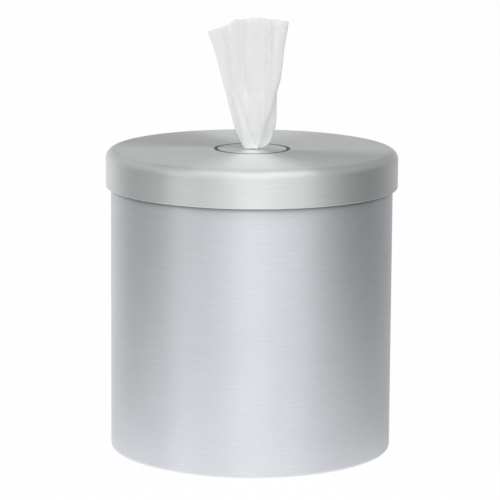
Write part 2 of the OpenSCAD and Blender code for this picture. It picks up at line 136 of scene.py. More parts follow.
# %% [markdown]
# ## The studio
#
# Brushed steel has almost no colour of its own: it shows the room. In the photograph it shows
# broad lights in front, weaker ones at the sides and something pale behind, with dark gaps
# between them, on a white table. The world here is made of such lights in two rings round the
# object, one level with it and one above that. Each light is a soft lobe: the cosine of the
# angle to its own bearing, raised to a power that sets how narrow it is. Their strengths were
# found by rendering each light alone and solving for the mix that gives the greys of the
# steel. No light of the upper ring is stronger than a half, because the lid would otherwise
# burn out to white when it is seen from behind.

# %% The world
LOW_LIGHTS = (                      # degrees to the right of the camera, strength
    (-150, 0.71), (-120, 0.12), (-72, 0.21), (-50, 0.05), (-12, 0.62), (5, 0.07), (22, 0.29),
    (40, 0.41), (140, 0.33), (180, 0.57))
HIGH_LIGHTS = (
    (-150, 0.37), (-100, 0.50), (-50, 0.50), (0, 0.50), (50, 0.50), (100, 0.36), (150, 0.19))
LOW_POWER = 14.0                    # the lower lights are narrow
HIGH_POWER = 5.0                    # and the upper ones broad
OVERHEAD_LEVEL = 0.41
LOW_TO_HIGH = (0.0, 0.30)           # sine of the elevation where one ring gives way to the next
HIGH_TO_OVERHEAD = (0.5, 0.9)
CAMERA_WHITE = 1.0                  # the background that the camera sees
WHITE = (1, 1, 1, 1)


def bearing_of(tree, direction):
    """Angle round the object, in radians to the right of the camera."""
    x, y, _ = split(tree, direction)
    return calc(tree, "ARCTAN2", x, calc(tree, "MULTIPLY", y, -1.0))


def ring_of_lights(tree, bearing, lights, power):
    """Brightness of a ring of soft lights at a bearing."""
    total = 0.0
    for place, strength in lights:
        off = calc(tree, "COSINE", calc(tree, "SUBTRACT", bearing, math.radians(place)))
        lobe = calc(tree, "POWER", calc(tree, "MULTIPLY_ADD", off, 0.5, 0.5), power)
        total = calc(tree, "MULTIPLY_ADD", lobe, strength, total)
    return total


world = bpy.data.worlds.new("studio")
bpy.context.scene.world = world
world.use_nodes = True
world.cycles.sampling_method = "NONE"
wt = world.node_tree
wt.nodes.clear()

direction = add(wt, "ShaderNodeTexCoord").outputs["Generated"]
bearing = bearing_of(wt, direction)
low_room = ring_of_lights(wt, bearing, LOW_LIGHTS, LOW_POWER)
high_room = ring_of_lights(wt, bearing, HIGH_LIGHTS, HIGH_POWER)
up = split(wt, direction)[2]
walls = mix(wt, spread(wt, up, *LOW_TO_HIGH, 0.0, 1.0), low_room, high_room)
room = mix(wt, spread(wt, up, *HIGH_TO_OVERHEAD, 0.0, 1.0), walls, OVERHEAD_LEVEL)
seen = add(wt, "ShaderNodeLightPath").outputs["Is Camera Ray"]
brightness = mix(wt, seen, room, CAMERA_WHITE)
glow = add(wt, "ShaderNodeBackground", {"Color": WHITE, "Strength": brightness})
add(wt, "ShaderNodeOutputWorld", {"Surface": glow.outputs[0]})
print("world:", len(LOW_LIGHTS), "low and", len(HIGH_LIGHTS), "high lights")

# %% [markdown]
# The floor is a pale sheet that takes the dispenser's shadow. To the camera it is mostly plain
# white, as the background of the photograph is. Reflections see it in another way: close to
# the canister they find a bright table, which lightens the foot of the steel, and further off
# they look past it into the studio.

# %% The floor
FLOOR_HALF = 12.0           # metres
FLOOR_GREY = (0.9, 0.9, 0.9, 1)
FLOOR_WHITE = 0.98          # share of plain white in what the camera sees
TABLE_NEAR = 0.10           # metres from the middle where the bright table starts to fade
TABLE_FAR = 0.75            # and where it is gone
TABLE_LIGHTS = ((-120, 0.12), (-60, 1.06), (0, 0.31), (60, 0.99), (180, 0.89))
TABLE_POWER = 3.0


def make_floor():
    mesh = bpy.data.meshes.new("floor")
    h = FLOOR_HALF
    mesh.from_pydata([(-h, -h, 0), (h, -h, 0), (h, h, 0), (-h, h, 0)], [], [(0, 1, 2, 3)])
    floor = bpy.data.objects.new("floor", mesh)
    bpy.context.scene.collection.objects.link(floor)
    paint = bpy.data.materials.new("floor_sheet")
    paint.use_nodes = True
    paint.cycles.emission_sampling = "NONE"
    t = paint.node_tree
    t.nodes.clear()
    matte = add(t, "ShaderNodeBsdfDiffuse", {"Color": FLOOR_GREY})
    plain = add(t, "ShaderNodeEmission", {"Color": WHITE, "Strength": CAMERA_WHITE})
    place = object_place(t)
    table_light = ring_of_lights(t, bearing_of(t, place), TABLE_LIGHTS, TABLE_POWER)
    table = add(t, "ShaderNodeEmission", {"Color": WHITE, "Strength": table_light})
    clear = add(t, "ShaderNodeBsdfTransparent")
    reach = add(t, "ShaderNodeVectorMath", {0: place}, operation="LENGTH").outputs["Value"]
    gone = spread(t, reach, TABLE_NEAR, TABLE_FAR, 0.0, 1.0)
    mirrored = add(t, "ShaderNodeMixShader", {0: gone, 1: table.outputs[0], 2: clear.outputs[0]})
    rays = add(t, "ShaderNodeLightPath").outputs
    whiten = calc(t, "MULTIPLY", rays["Is Camera Ray"], FLOOR_WHITE)
    direct = add(t, "ShaderNodeMixShader", {0: whiten, 1: matte.outputs[0], 2: plain.outputs[0]})
    both = add(t, "ShaderNodeMixShader",
               {0: rays["Is Glossy Ray"], 1: direct.outputs[0], 2: mirrored.outputs[0]})
    add(t, "ShaderNodeOutputMaterial", {"Surface": both.outputs[0]})
    mesh.materials.append(paint)


make_floor()

# %% [markdown]
# The world lights the object softly from all round. Five weak softboxes, all turned to the
# middle of the object, lift the lid's rounded edge and give the wipe its light and shade.

# %% The lamps
SOFTBOXES = (               # name, place in metres, side in metres, watts
    ("top_left_softbox", (-0.7, -0.9, 1.9), 1.0, 4.4),
    ("top_softbox", (0.05, -0.9, 2.0), 1.0, 2.6),
    ("top_right_softbox", (0.8, -0.9, 1.9), 1.0, 5.2),
    ("front_softbox", (0.05, -2.0, 1.5), 1.0, 4.0),
    ("left_softbox", (-1.8, -1.2, 0.9), 0.9, 2.2),
)

for name, place, side, watts in SOFTBOXES:
    light = bpy.data.lights.new(name, "AREA")
    light.size = side
    light.energy = watts
    lamp = bpy.data.objects.new(name, light)
    bpy.context.scene.collection.objects.link(lamp)
    lamp.location = place
    lamp.rotation_mode = "QUATERNION"
    lamp.rotation_quaternion = (AIM - Vector(place)).to_track_quat("-Z", "Y")
print("softboxes:", len(SOFTBOXES), "with", round(sum(box[3] for box in SOFTBOXES), 1), "watts")

# %% [markdown]
# ## Finishes
#
# The steel was brushed while it turned, so every scratch runs round the axis: level on the
# wall and in circles on the lid. One pattern covers both. The point's angle becomes a place
# on a small circle, so that the pattern has no seam, and the height and the radius, both
# greatly stretched, decide which scratch the point lies on. A shader group holds this, because
# the wall, the lid, the disc and the pan use it with their own values. It also marks the
# upright weld at the back, where the canister's rolled sheet meets itself.

# %% A group for turned grain
LINES_PER_METRE = 1100.0
STREAKS_PER_TURN = 60.0
AXIS_GAP = 0.001            # metres round the axis where the angle means nothing
# Share of the lines per metre and of the streaks per turn, detail, share of the whole
FINE_SCRATCHES = (1.0, 1.0, 2.0, 0.65)
BROAD_SCRATCHES = (0.45, 0.5, 1.0, 0.35)
STREAK_EDGES = (0.3, 0.7)   # where the pattern turns from no streak to a full one
WELD_CORE = 0.0003          # metres to each side of the weld's middle
WELD_EDGE = 0.0016


def new_group(name, inputs, outputs):
    """An empty shader group. inputs holds (name, default) pairs, and outputs names."""
    group = bpy.data.node_groups.new(name, "ShaderNodeTree")
    for label, default in inputs:
        socket = group.interface.new_socket(label, in_out="INPUT", socket_type="NodeSocketFloat")
        socket.default_value = default
    for label in outputs:
        group.interface.new_socket(label, in_out="OUTPUT", socket_type="NodeSocketFloat")
    given = group.nodes.new("NodeGroupInput").outputs
    return group, given, group.nodes.new("NodeGroupOutput").inputs


def make_turned_grain():
    g, given, result = new_group(
        "turned_grain",
        [("Lines per metre", LINES_PER_METRE), ("Streaks per turn", STREAKS_PER_TURN)],
        ["Line", "Streak", "Seam"])
    x, y, z = split(g, object_place(g))
    radius = radius_of(g, x, y)
    safe = calc(g, "MAXIMUM", radius, AXIS_GAP)
    rim = calc(g, "DIVIDE", given["Streaks per turn"], math.tau)
    round_x = calc(g, "MULTIPLY", calc(g, "DIVIDE", x, safe), rim)
    round_y = calc(g, "MULTIPLY", calc(g, "DIVIDE", y, safe), rim)

    def scratches(line_share, streak_share, detail):
        per_metre = calc(g, "MULTIPLY", given["Lines per metre"], line_share)
        spot = add(g, "ShaderNodeCombineXYZ", {
            0: calc(g, "MULTIPLY", round_x, streak_share),
            1: calc(g, "MULTIPLY", round_y, streak_share),
            2: calc(g, "MULTIPLY", z, per_metre)})
        noise = add(g, "ShaderNodeTexNoise", {
            "Vector": spot.outputs[0], "W": calc(g, "MULTIPLY", radius, per_metre),
            "Scale": 1.0, "Detail": detail, "Roughness": 0.6}, noise_dimensions="4D")
        return noise.outputs["Fac"]

    fine = scratches(*FINE_SCRATCHES[:3])
    broad = scratches(*BROAD_SCRATCHES[:3])
    both = calc(g, "MULTIPLY_ADD", broad, BROAD_SCRATCHES[3],
                calc(g, "MULTIPLY", fine, FINE_SCRATCHES[3]))
    g.links.new(fine, result["Line"])
    g.links.new(spread(g, both, *STREAK_EDGES, 0.0, 1.0), result["Streak"])
    behind = calc(g, "GREATER_THAN", y, 0.0)
    near = spread(g, calc(g, "ABSOLUTE", x), WELD_CORE, WELD_EDGE, 1.0, 0.0)
    g.links.new(calc(g, "MULTIPLY", behind, near), result["Seam"])
    return g


turned_grain = make_turned_grain()
print("turned grain:", len(turned_grain.nodes), "nodes")

# %% [markdown]
# Nothing that is handled stays even. A second group makes faint clouds, such as wiped-off
# fingerprints or moulding sheen, at a size that each finish sets for itself, and the fine
# specks of a spark-eroded mould.

# %% A group for handling marks
CLOUD_MIDDLE = 0.52         # the noise value at the middle of a cloud's edge
SPECKS_PER_METRE = 1600.0


def make_handling():
    g, given, result = new_group(
        "handling_marks", [("Marks per metre", 18.0), ("Softness", 0.25)], ["Mark", "Speck"])
    place = object_place(g)
    clouds = add(g, "ShaderNodeTexNoise", {"Vector": place, "Scale": given["Marks per metre"],
                                           "Detail": 3.0, "Roughness": 0.55, "Distortion": 0.6})
    low = calc(g, "SUBTRACT", CLOUD_MIDDLE, given["Softness"])
    high = calc(g, "ADD", CLOUD_MIDDLE, given["Softness"])
    g.links.new(spread(g, clouds.outputs["Fac"], low, high, 0.0, 1.0), result["Mark"])
    dots = add(g, "ShaderNodeTexNoise", {"Vector": place, "Scale": SPECKS_PER_METRE, "Detail": 2.0})
    g.links.new(dots.outputs["Fac"], result["Speck"])
    return g


handling_marks = make_handling()
print("handling marks:", len(handling_marks.nodes), "nodes")

# %% [markdown]
# A finish is one Principled shader. Its even values are typed into the shader's own sockets,
# and only what changes over the surface is linked to it.

# %% Helpers for finishes
def new_finish(name, **sockets):
    """A material with one Principled shader, whose sockets take the given values."""
    finish = bpy.data.materials.new(name)
    finish.use_nodes = True
    tree = finish.node_tree
    shader = tree.nodes["Principled BSDF"]
    for label, value in sockets.items():
        shader.inputs[label.replace("_", " ")].default_value = value
    return finish, tree, shader


def tint(shade, factor):
    """A darker or lighter shade of a colour."""
    return tuple(min(1.0, c * factor) for c in shade)


def blend_colour(tree, share, first, second):
    """The output of a Mix node between two colours."""
    mixed = add(tree, "ShaderNodeMix", {"Factor": share}, data_type="RGBA")
    for socket, value in ((mixed.inputs[6], first), (mixed.inputs[7], second)):
        if isinstance(value, bpy.types.NodeSocket):
            tree.links.new(value, socket)
        else:
            socket.default_value = (*value, 1.0)
    return mixed.outputs[2]


def roughen(tree, shader, height, strength, depth):
    """Gives a shader the small relief of a height pattern, depth in metres."""
    bump = add(tree, "ShaderNodeBump", {"Strength": strength, "Distance": depth, "Height": height})
    tree.links.new(bump.outputs[0], shader.inputs["Normal"])


def use_group(tree, group, **values):
    """A group placed in a tree with its own values."""
    node = tree.nodes.new("ShaderNodeGroup")
    node.node_tree = group
    for label, value in values.items():
        node.inputs[label.replace("_", " ")].default_value = value
    return node.outputs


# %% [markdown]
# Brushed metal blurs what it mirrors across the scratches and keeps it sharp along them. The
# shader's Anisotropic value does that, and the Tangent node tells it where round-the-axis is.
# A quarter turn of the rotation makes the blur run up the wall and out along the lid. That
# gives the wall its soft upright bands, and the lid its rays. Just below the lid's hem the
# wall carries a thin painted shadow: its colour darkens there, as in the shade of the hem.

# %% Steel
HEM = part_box("lid_shell")[0].z
HEM_SHADOW_REACH = 0.0055          # metres below the hem where the painted shadow has faded, a third above
# colour of the painted shadow just below the lid's hem
HEM_SHADOW_SHADE = (0.06, 0.06, 0.08)
WELD_SHADE = (0.40, 0.40, 0.41)
GRAIN_TONE = 0.03           # how far a streak is darker or lighter than the steel
GRAIN_ROUGH = 0.03          # how much rougher a streak is, and a handling mark on it
SCRATCH_STRENGTH = 0.35
SCRATCH_DEPTH = 0.00002     # metres


def make_brushed_steel(name, shade, lines, roughness, seam=0.0, hem_shadow=0.0):
    """Steel scratched round the axis. seam and the last argument set the weld and the painted hem
    shadow.
    """
    finish, tree, shader = new_finish(
        name, Metallic=1.0, Anisotropic=0.92, Anisotropic_Rotation=0.25)
    grain = use_group(tree, turned_grain, Lines_per_metre=lines)
    marks = use_group(tree, handling_marks, Marks_per_metre=14.0)
    dark, light = tint(shade, 1 - GRAIN_TONE), tint(shade, 1 + GRAIN_TONE)
    tone = blend_colour(tree, grain["Streak"], dark, light)
    if seam:
        tone = blend_colour(tree, calc(tree, "MULTIPLY", grain["Seam"], seam), tone, WELD_SHADE)
    # painted shadow: the wall's colour darkens just below the lid's hem, where the hem shades it
    if hem_shadow:
        z = split(tree, object_place(tree))[2]
        below = spread(tree, z, HEM - HEM_SHADOW_REACH, HEM, 0.0, 1.0)
        above = spread(tree, z, HEM, HEM + HEM_SHADOW_REACH / 3, hem_shadow, 0.0)
        line = calc(tree, "MULTIPLY", calc(tree, "MULTIPLY", below, below), above)
        tone = blend_colour(tree, line, tone, HEM_SHADOW_SHADE)
    tree.links.new(tone, shader.inputs["Base Color"])
    rough = calc(tree, "MULTIPLY_ADD", grain["Streak"], GRAIN_ROUGH, roughness - GRAIN_ROUGH)
    rough = calc(tree, "MULTIPLY_ADD", marks["Mark"], GRAIN_ROUGH, rough)
    tree.links.new(rough, shader.inputs["Roughness"])
    round_axis = add(tree, "ShaderNodeTangent", direction_type="RADIAL", axis="Z")
    tree.links.new(round_axis.outputs[0], shader.inputs["Tangent"])
    roughen(tree, shader, grain["Line"], SCRATCH_STRENGTH, SCRATCH_DEPTH)
    return finish


# the wall carries the painted shadow under the lid's hem
wall_steel = make_brushed_steel(
    "wall_steel", (0.785, 0.805, 0.843), LINES_PER_METRE, 0.52, seam=0.6, hem_shadow=0.55)
lid_steel = make_brushed_steel("lid_steel", (0.793, 0.815, 0.813), LINES_PER_METRE, 0.455)
pan_steel = make_brushed_steel("pan_steel", (0.66, 0.67, 0.69), 500.0, 0.38)
print("steel:", wall_steel.name, lid_steel.name, pan_steel.name)

# %% [markdown]
# The mouldings are told apart by their sheen. The nozzle is black with hardly any gloss, so
# that its thin ring stays dark beside the bright steel. The pail and the parts under the lid
# are grey with a fine spark texture. The feet, the gasket, the petals and the grey seal are
# rubber with almost no shine.

# %% Plastics and rubber
MARK_DARK = 0.95            # share of the colour between the handling marks
MARK_LIGHT = 1.04           # and on them
MARK_ROUGH = 0.08           # how much rougher the marks are
TEXTURE_DEPTH = 0.00008     # metres


def make_moulded(name, shade, roughness, texture, gloss=0.5):
    """A moulded plastic or rubber. texture is how strong its fine specks are."""
    finish, tree, shader = new_finish(name, Specular_IOR_Level=gloss)
    marks = use_group(tree, handling_marks, Marks_per_metre=30.0)
    tone = blend_colour(tree, marks["Mark"], tint(shade, MARK_DARK), tint(shade, MARK_LIGHT))
    tree.links.new(tone, shader.inputs["Base Color"])
    rough = calc(tree, "MULTIPLY_ADD", marks["Mark"], MARK_ROUGH, roughness - MARK_ROUGH / 2)
    tree.links.new(rough, shader.inputs["Roughness"])
    roughen(tree, shader, marks["Speck"], texture, TEXTURE_DEPTH)
    return finish


black_moulding = make_moulded("black_moulding", (0.020, 0.020, 0.023), 0.32, 0.10, gloss=0.04)
grey_moulding = make_moulded("grey_moulding", (0.27, 0.28, 0.30), 0.46, 0.35)
black_rubber = make_moulded("black_rubber", (0.030, 0.030, 0.032), 0.78, 0.50)
soft_seal = make_moulded("soft_seal", (0.42, 0.43, 0.44), 0.70, 0.25, gloss=0.3)
print("mouldings:", black_moulding.name, grey_moulding.name, black_rubber.name, soft_seal.name)

# %% [markdown]
# A wet wipe is a nonwoven sheet: fibres that were tangled by water jets and not woven. Close
# up it shows short crossing strands and, at a larger scale, thin and thick clouds. On a free
# wipe the pattern follows the cloth, so it reads the sheet's own UV map in metres, and on the
# roll, where only the edges of the layers show, it reads the roll's own metres. The free wipe
# also carries painted shade: its colour turns a little greyer towards its top. A little
# subsurface light keeps the folds from looking like plaster.

# %% The wipe's finish
WIPE_SHADE = (0.962, 0.970, 0.962)
STRAND_TURNS = (0.5, -0.45, 1.35)           # radians: the strands cross in three directions
STRANDS_PER_METRE = (260.0, 1900.0, 1.0)    # along a strand, across it
CLOUDS_PER_METRE = 210.0
WEB_EDGES = (0.40, 0.66)    # where the web turns from thin to thick
THIN_TONE = 0.95            # share of the colour where the web is thin
# Painted shade: the free wipe's colour greys towards its top
TOP_SHADE_START = 0.075          # metres from the tear line where the painted shade towards the top starts
TOP_SHADE_END = 0.140            # and where it is greyest
TOP_SHADE_TONE = 0.91
TOP_SHADE_THIN_TONE = 0.865
FIBRE_STRENGTH = 0.35
FIBRE_DEPTH = 0.0002        # metres


def make_nonwoven(name, shade, wound=False):
    """A finish for a free sheet with a UV map or, when wound, for the many layers of a roll."""
    finish, tree, shader = new_finish(
        name, Roughness=0.62, Subsurface_Weight=0.2, Subsurface_Scale=0.002,
        Subsurface_Radius=(1.0, 1.0, 1.0), Sheen_Weight=0.15, Sheen_Roughness=0.5)
    if wound:
        cloth = object_place(tree)
    else:
        cloth = add(tree, "ShaderNodeUVMap", uv_map="cloth").outputs[0]
    felt = 0.0
    for turn in STRAND_TURNS:
        laid = add(tree, "ShaderNodeMapping", {"Vector": cloth, "Rotation": (0, 0, turn),
                                               "Scale": STRANDS_PER_METRE})
        hair = add(tree, "ShaderNodeTexNoise", {"Vector": laid.outputs[0], "Scale": 1.0,
                                                "Detail": 2.0, "Distortion": 0.7})
        felt = calc(tree, "MAXIMUM", felt, hair.outputs["Fac"])
    clouds = add(tree, "ShaderNodeTexNoise",
                 {"Vector": cloth, "Scale": CLOUDS_PER_METRE, "Detail": 3.0})
    thick = calc(tree, "MULTIPLY_ADD", clouds.outputs["Fac"], 0.5,
                 calc(tree, "MULTIPLY", felt, 0.5))
    body, thin = shade, tint(shade, THIN_TONE)
    # painted shade: the free wipe's colour turns greyer towards its top
    if not wound:
        length = split(tree, cloth)[1]
        top_shade = spread(tree, length, TOP_SHADE_START, TOP_SHADE_END, 0.0, 1.0, smooth=False)
        body = blend_colour(tree, top_shade, body, tint(shade, TOP_SHADE_TONE))
        thin = blend_colour(tree, top_shade, thin, tint(shade, TOP_SHADE_THIN_TONE))
    web = spread(tree, thick, *WEB_EDGES, 0.0, 1.0)
    tree.links.new(blend_colour(tree, web, thin, body), shader.inputs["Base Color"])
    roughen(tree, shader, thick, FIBRE_STRENGTH, FIBRE_DEPTH)
    return finish


wet_wipe = make_nonwoven("wet_wipe", WIPE_SHADE)
wound_wipes = make_nonwoven("wound_wipes", WIPE_SHADE, wound=True)
print("finishes:", len(bpy.data.materials))

# %% [markdown]
# ## Dressing the solids
#
# The rigid pieces keep their solids, whose shapes are exact. Each one takes its finish in the
# material slot that it came with.

# %% Give each solid its finish
SOLIDS_IN = (
    (wall_steel, "body_shell"),
    (pan_steel, "bottom_pan"),
    (lid_steel, "lid_shell face_disc"),
    (black_rubber, "foot_pad_1 foot_pad_2 foot_pad_3 foot_pad_4 nozzle_gasket grip_diaphragm"),
    (grey_moulding, "inner_pail inner_lid funnel_insert nut_washer clamp_nut"),
    (black_moulding, "nozzle_body"),
    (soft_seal, "lid_seal"),
)

for finish, names in SOLIDS_IN:
    for name in names.split():
        nodes[name].data.materials.clear()
        nodes[name].data.materials.append(finish)
print("dressed:", sum(len(names.split()) for _, names in SOLIDS_IN))

# %% [markdown]
# ## The wipe
#
# One wipe is a sheet of 203 by 152 mm. Where the petals hold it, all its width is gathered
# into a bundle as thick as a finger, and above them it springs open into a fan. The sheet is
# built level by level. Each level is a line seen from above, which starts at the sheet's left
# edge, runs along the front leaf, turns back over a bulge at the right and ends on the back
# leaf. Between the leaves a tuck takes up what is left of the cloth.
#
# The lists below are pairs of height above the lid and reach, in millimetres. They follow the
# outline of the wipe in the photograph. The front leaf ends at a crease that leans in towards
# the foot, and the bulge behind it stands out further in the lower half.

# %% The outline of the fan
WIPE_WIDTH = 0.203          # the roll's height
WIPE_LENGTH = 0.152         # between two tear lines
WIPE_TOP = 109.4
NECK = -4                   # the bundle keeps the same shape from this level down

LEFT_EDGE = (
    (NECK, 3.9), (-1, 4.2), (0, 4.6), (0.8, 6.2), (3, 7.4), (7, 9.4), (9, 10.2), (17, 14.2),
    (36, 18.6), (58, 23.9), (83, 29.6), (98, 33.3), (WIPE_TOP, 37.2))
FRONT_CREASE = (
    (NECK, 3.4), (0, 4.0), (0.8, 5.0), (10, 7.5), (20, 10.8), (35, 15.8), (50, 20.6), (57, 23.0),
    (88, 26.2), (100, 28.6), (WIPE_TOP, 29.4))
BULGE = (
    (NECK, 3.9), (-1, 4.2), (0, 4.6), (0.8, 7.2), (3, 12.6), (5, 14.4), (10, 17.0), (18, 19.6),
    (47, 20.1), (57, 21.0), (88, 23.5), (WIPE_TOP, 25.5))
# Half the distance from the front leaf to the back one
DEPTH = (
    (NECK, 2.8), (-1, 4.0), (0, 4.7), (0.8, 7.9), (2.5, 7.4), (6, 7.0), (15, 8.5), (50, 9.5),
    (80, 8.5), (WIPE_TOP, 7.0))
# Length of the line, which is the sheet's width but where the petals press it
CLOTH = ((NECK, 88), (0, 100), (0.8, 130), (4, 175), (8, 203), (WIPE_TOP, 203))
print("fan:", LEFT_EDGE[-1][1] + FRONT_CREASE[-1][1], "mm across at its top")

# %% [markdown]
# A few small tools serve every level: reading a list between its pairs, rounding a path by
# cutting off its corners, and setting points at even steps along a line.

# %% Tools for lines
def at(table, key):
    """A value between the pairs of a list."""
    keys, values = zip(*table)
    return np.interp(key, keys, values)


def smooth_path(corners, rounds=4):
    """A path with its corners cut off again and again, until it is round."""
    corners = np.array(corners, float)
    for _ in range(rounds):
        a, b = corners[:-1], corners[1:]
        cut = np.empty((2 * len(a), 2))
        cut[0::2], cut[1::2] = 0.75 * a + 0.25 * b, 0.25 * a + 0.75 * b
        corners = np.vstack([corners[:1], cut, corners[-1:]])
    return corners


def lengths(line):
    """Distance along a line, at each of its points."""
    return np.r_[0, np.cumsum(np.linalg.norm(np.diff(line, axis=0), axis=1))]


def even_points(line, count):
    """count points at even steps along a line."""
    along = lengths(line)
    steps = np.linspace(0, along[-1], count)
    return np.column_stack([np.interp(steps, along, line[:, k]) for k in (0, 1)])


# %% [markdown]
# A level of the sheet. The hidden leaves wave together, with the same number of waves at each
# height, so their crests run down to the foot like the pleats of a fan. The front leaf keeps
# flat but for its few soft folds.
#
# How deep the tuck goes isn't chosen but solved, by halving an interval, so that the line is
# as long as the sheet is wide. That keeps the sheet's true area, as cloth that doesn't stretch
# has to. Only near the foot, where the petals press the bundle tighter than leaves can be
# drawn, the line is shorter.

# %% One level of the sheet
COLUMNS = 420               # points along one level of the sheet
TURN_REACH = 0.78           # where the hidden leaves turn back, as a share of the left edge
TUCK_REACH = 0.72           # how far to the right the tuck may go, as a share of the bulge
TUCK_LEAST = 0.3            # millimetres
WAVES = 5                   # over the sheet's width
WAVE_START = 0.6            # radians
RIPPLES = 7                 # smaller waves that keep the pleats from being alike
RIPPLE_SHARE = 0.35
WAVES_FROM = -0.55          # share of the depth where the waves start, behind the front leaf
WAVES_GROW = 0.65           # share of the depth over which they grow
# Height of the waves, as a share of the room that each has
WAVE_SHARE = (
    (NECK, 0.72), (-1, 0.55), (1, 0.36), (5, 0.36), (40, 0.34), (75, 0.18), (WIPE_TOP, 0.09))
# Soft folds of the front leaf: reach and height along the fold, depth (minus is a ridge), width
SOFT_FOLDS = (
    (((-9.5, 109), (-9.0, 75), (-6.0, 50)), 3.6, 2.4),
    (((13.5, 109), (13.3, 70), (12.5, 51), (9.5, 38), (8.8, 24)), -3.0, 2.6),
    (((-20.0, 109), (-13.0, 45), (-6.0, 6)), -2.3, 3.4),
    (((-12.5, 48), (-10.4, 38), (-6.0, 24), (-0.5, 10), (1.0, 4)), 2.4, 1.9),
    (((20.0, 60), (14.0, 30), (7.0, 6)), -1.7, 3.0),
    (((24.0, 109), (19.0, 80), (17.0, 60)), -1.3, 3.6),
)
FADE_LOW = 8                # millimetres over which a soft fold fades out at its foot
FADE_HIGH = 14              # and at its top
FULL_DEPTH = 6              # a fold is lower where the bundle is thinner than this


def leaves(height, tuck):
    """The sheet's line at a height, in millimetres, with a tuck of the given depth."""
    left, crease, bulge, deep = (at(t, height) for t in (LEFT_EDGE, FRONT_CREASE, BULGE, DEPTH))
    turn = -TURN_REACH * left
    inner = turn + tuck
    line = smooth_path([
        # the front leaf, from the sheet's left edge to the crease
        (-left, -0.72 * deep), (-0.55 * left, -0.95 * deep), (0.1 * crease, -deep),
        (0.93 * crease, -0.96 * deep), (crease, -0.88 * deep), (crease, -0.6 * deep),
        # the bulge at the right, behind the crease
        (0.94 * bulge, -0.5 * deep), (bulge, -0.3 * deep), (bulge, 0.02 * deep),
        (0.75 * bulge, 0.08 * deep),
        # the middle leaf, back to the left, and the tuck
        (0.1 * turn, 0.10 * deep), (turn, 0.14 * deep), (1.06 * turn, 0.28 * deep),
        (turn, 0.42 * deep), (inner, 0.44 * deep), (inner, 0.60 * deep), (turn, 0.62 * deep),
        # the back leaf, to the right again
        (1.06 * turn, 0.80 * deep), (turn, 0.98 * deep), (0.0, deep), (0.72 * bulge, 0.9 * deep)])
    x, y = line[:, 0], line[:, 1]
    back = np.clip((y / deep - WAVES_FROM) / WAVES_GROW, 0, 1)
    across = (x + left) / (left + bulge)
    wave = (np.sin(math.tau * WAVES * across + WAVE_START)
            + RIPPLE_SHARE * np.sin(math.tau * RIPPLES * across))
    line[:, 1] += back * wave * at(WAVE_SHARE, height) * (left + bulge) / WAVES
    for fold, depth, width in SOFT_FOLDS:
        way = sorted((h, r) for r, h in fold)
        off = (x - at(way, height)) / width
        fade = (np.clip((height - way[0][0]) / FADE_LOW + 1, 0, 1)
                * np.clip((way[-1][0] - height) / FADE_HIGH + 1, 0, 1))
        line[:, 1] += (1 - back) * depth * fade * min(1, deep / FULL_DEPTH) * np.exp(-off * off)
    return line


def level(height):
    """The sheet's line at a height, with just the tuck that makes it as long as the cloth."""
    goal = at(CLOTH, height)
    low = TUCK_LEAST
    high = TURN_REACH * at(LEFT_EDGE, height) + TUCK_REACH * at(BULGE, height)
    for _ in range(30):
        tuck = (low + high) / 2
        if lengths(leaves(height, tuck))[-1] < goal:
            low = tuck
        else:
            high = tuck
    return even_points(leaves(height, low), COLUMNS)


for height in (-20, 0, 10, 20, 50, 80, WIPE_TOP):
    print(f"{height:5} mm above the lid: line of {lengths(level(height))[-1]:.0f} mm")

# %% [markdown]
# The levels become a mesh. Points that are neighbours along a level or in a column are joined
# by faces, a light smoothing along the columns takes out the corners of the short lists, and
# the sheet gets the thickness of a wet wipe. Its UV map holds the sheet's own metres.

# %% From levels to a sheet
SHEET_THICKNESS = 0.45      # millimetres


def bake(thing):
    """Turns what the modifiers make of an object into its own mesh."""
    graph = bpy.context.evaluated_depsgraph_get()
    mesh = bpy.data.meshes.new_from_object(thing.evaluated_get(graph))
    thing.modifiers.clear()
    thing.data = mesh
    mesh.shade_smooth()
    return thing


def soften(rows, passes=2):
    """Smooths every column of points, but keeps the first and the last row."""
    rows = rows.copy()
    for _ in range(passes):
        rows[1:-1] = 0.25 * rows[:-2] + 0.5 * rows[1:-1] + 0.25 * rows[2:]
    return rows


def make_sheet(name, rows, flat_length):
    """A thin closed sheet through rows of points in millimetres, lowest row first."""
    count, columns = rows.shape[:2]
    mesh = bpy.data.meshes.new(name)
    corners = [k * columns + i for k in range(count - 1) for i in range(columns - 1)]
    quads = [(c, c + 1, c + columns + 1, c + columns) for c in corners]
    mesh.from_pydata((rows.reshape(-1, 3) / 1000).tolist(), [], quads)
    middle = rows[:, columns // 2]
    way = lengths(middle) / lengths(middle)[-1] * flat_length
    u = np.tile(np.linspace(0, WIPE_WIDTH, columns), count)
    v = np.repeat(way, columns)
    used = np.empty(len(mesh.loops), np.int32)
    mesh.loops.foreach_get("vertex_index", used)
    flat = np.column_stack([u[used], v[used]]).astype(np.float32)
    mesh.uv_layers.new(name="cloth").uv.foreach_set("vector", flat.ravel())
    mesh.materials.append(wet_wipe)
    sheet = bpy.data.objects.new(name, mesh)
    bpy.context.scene.collection.objects.link(sheet)
    thickness = sheet.modifiers.new("thickness", "SOLIDIFY")
    thickness.thickness = SHEET_THICKNESS / 1000
    thickness.offset = 0.0
    return bake(sheet)


def area_share(sheet, width, length):
    """A thin sheet's area, of one side, as a share of its flat size."""
    return round(sum(p.area for p in sheet.data.polygons) / 2 / (width * length), 2)


# %% [markdown]
# The standing wipe. Its levels lie close together where it leaves the nozzle and bends most.
# Its top edge falls away to both sides and to the back, and it is a little ragged, because it
# was torn along a row of small cuts.

